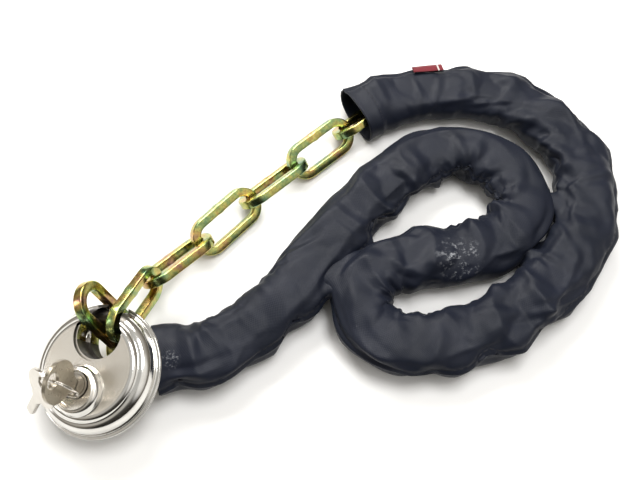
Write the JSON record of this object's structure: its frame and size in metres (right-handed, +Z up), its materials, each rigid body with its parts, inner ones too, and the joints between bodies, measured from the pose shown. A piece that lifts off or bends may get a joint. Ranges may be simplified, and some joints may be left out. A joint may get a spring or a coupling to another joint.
{
  "type": "chain lock",
  "caption": "Square-rod steel chain in a loose fabric sleeve, closed by a round disc padlock, lying coiled with its key in the lock.",
  "frame": {"origin": "on the resting surface, under the middle of the object's outline", "axes": "+Z up from the resting surface, +X along the longest extent, padlock at -X, bare chain running towards +X and +Y"},
  "size_m": [0.3782, 0.2826, 0.067],
  "materials": {
    "zinc_plated_steel": "yellow chromate, slightly iridescent",
    "sleeve_fabric": "matt woven nylon",
    "label_fabric": "woven",
    "brushed_face": "brushed",
    "polished_steel": "mirror polished",
    "core_metal": "as cast",
    "hardened_steel": "hardened, ground",
    "brass": "machined",
    "spring_steel": "drawn wire",
    "nickel_plate": "nickel plate, satin"
  },
  "bodies": {
    "case": {"chain_link_00": "zinc_plated_steel", "chain_link_01": "zinc_plated_steel", "chain_link_06": "zinc_plated_steel", "chain_link_07": "zinc_plated_steel", "chain_link_08": "zinc_plated_steel", "chain_link_09": "zinc_plated_steel", "chain_link_10": "zinc_plated_steel", "chain_link_11": "zinc_plated_steel", "chain_link_12": "zinc_plated_steel", "chain_link_13": "zinc_plated_steel", "chain_link_14": "zinc_plated_steel", "chain_link_15": "zinc_plated_steel", "chain_link_16": "zinc_plated_steel", "chain_link_17": "zinc_plated_steel", "chain_link_18": "zinc_plated_steel", "chain_link_19": "zinc_plated_steel", "chain_link_20": "zinc_plated_steel", "chain_link_21": "zinc_plated_steel", "chain_link_22": "zinc_plated_steel", "chain_link_23": "zinc_plated_steel", "chain_link_24": "zinc_plated_steel", "chain_link_25": "zinc_plated_steel", "chain_link_26": "zinc_plated_steel", "chain_link_27": "zinc_plated_steel", "chain_link_28": "zinc_plated_steel", "chain_link_29": "zinc_plated_steel", "chain_link_30": "zinc_plated_steel", "fabric_sleeve": "sleeve_fabric", "sleeve_label": "label_fabric", "front_shell": "brushed_face", "rear_shell": "polished_steel", "lock_core": "core_metal", "drill_guard_plate": "hardened_steel", "rear_plate": "hardened_steel", "core_spacer": "core_metal", "cylinder_collar": "polished_steel", "cylinder_housing": "nickel_plate", "driver_pin_1": "hardened_steel", "pin_spring_1": "spring_steel", "driver_pin_2": "hardened_steel", "pin_spring_2": "spring_steel", "driver_pin_3": "hardened_steel", "pin_spring_3": "spring_steel", "driver_pin_4": "hardened_steel", "pin_spring_4": "spring_steel"},
    "plug": {"key_plug": "nickel_plate", "driving_cam": "core_metal", "key_pin_1": "brass", "key_pin_2": "brass", "key_pin_3": "brass", "key_pin_4": "brass"},
    "shackle": {"shackle": "hardened_steel", "shackle_carrier": "core_metal"},
    "key": {"key_in_lock": "nickel_plate"},
    "ring": {"key_ring": "nickel_plate"},
    "spare": {"spare_key": "nickel_plate"},
    "link_2": {"chain_link_02": "zinc_plated_steel"},
    "link_3": {"chain_link_03": "zinc_plated_steel"},
    "link_4": {"chain_link_04": "zinc_plated_steel"},
    "link_5": {"chain_link_05": "zinc_plated_steel"}
  },
  "joints": [
    {"name": "shackle_turn", "type": "hinge", "parent": "case", "child": "shackle", "pos_m": [-0.1454, -0.10182, 0.0224], "axis": [-0.2435, -0.1902, 0.9511], "range_deg": [0, 68.6]},
    {"name": "plug_turn", "type": "hinge", "parent": "case", "child": "plug", "pos_m": [-0.1481, -0.11181, 0.01971], "axis": [-0.2435, -0.1902, 0.9511], "range_deg": [0, 180]},
    {"name": "key_pull", "type": "slide", "parent": "plug", "child": "key", "axis": [-0.2435, -0.1902, 0.9511], "range_m": [0, 0.026]},
    {"name": "ring_swing", "type": "hinge", "parent": "key", "child": "ring", "pos_m": [-0.15857, -0.11999, 0.0606], "axis": [0.9364, -0.3015, 0.1794], "range_deg": [-60, 0]},
    {"name": "spare_swing", "type": "hinge", "parent": "ring", "child": "spare", "pos_m": [-0.16673, -0.11776, 0.0484], "axis": [0.1598, -0.0889, -0.9831], "range_deg": [-6, 2]},
    {"name": "link_2_sway", "type": "hinge", "parent": "case", "child": "link_2", "pos_m": [-0.1201, -0.04031, 0.0194], "axis": [0, 0, 1], "range_deg": [-3, 3]},
    {"name": "link_3_sway", "type": "hinge", "parent": "link_2", "child": "link_3", "pos_m": [-0.0919, -0.00932, 0.0114], "axis": [0, 0, 1], "range_deg": [-1.8, 1.8]},
    {"name": "link_4_sway", "type": "hinge", "parent": "link_3", "child": "link_4", "pos_m": [-0.0623, 0.02259, 0.0112], "axis": [0, 0, 1], "range_deg": [-2.4, 2.4]},
    {"name": "link_5_sway", "type": "hinge", "parent": "link_4", "child": "link_5", "pos_m": [-0.0298, 0.05158, 0.0112], "axis": [0, 0, 1], "range_deg": [-1.8, 1.8]}
  ],
  "couplings": [
    {"joint": "plug_turn", "follows": "shackle_turn", "ratio": 2.6239},
    {"joint": "ring_swing", "follows": "shackle_turn", "ratio": -0.8746},
    {"joint": "link_3_sway", "follows": "link_2_sway", "ratio": -0.6},
    {"joint": "link_4_sway", "follows": "link_2_sway", "ratio": -0.8},
    {"joint": "link_5_sway", "follows": "link_2_sway", "ratio": -0.6}
  ]
}
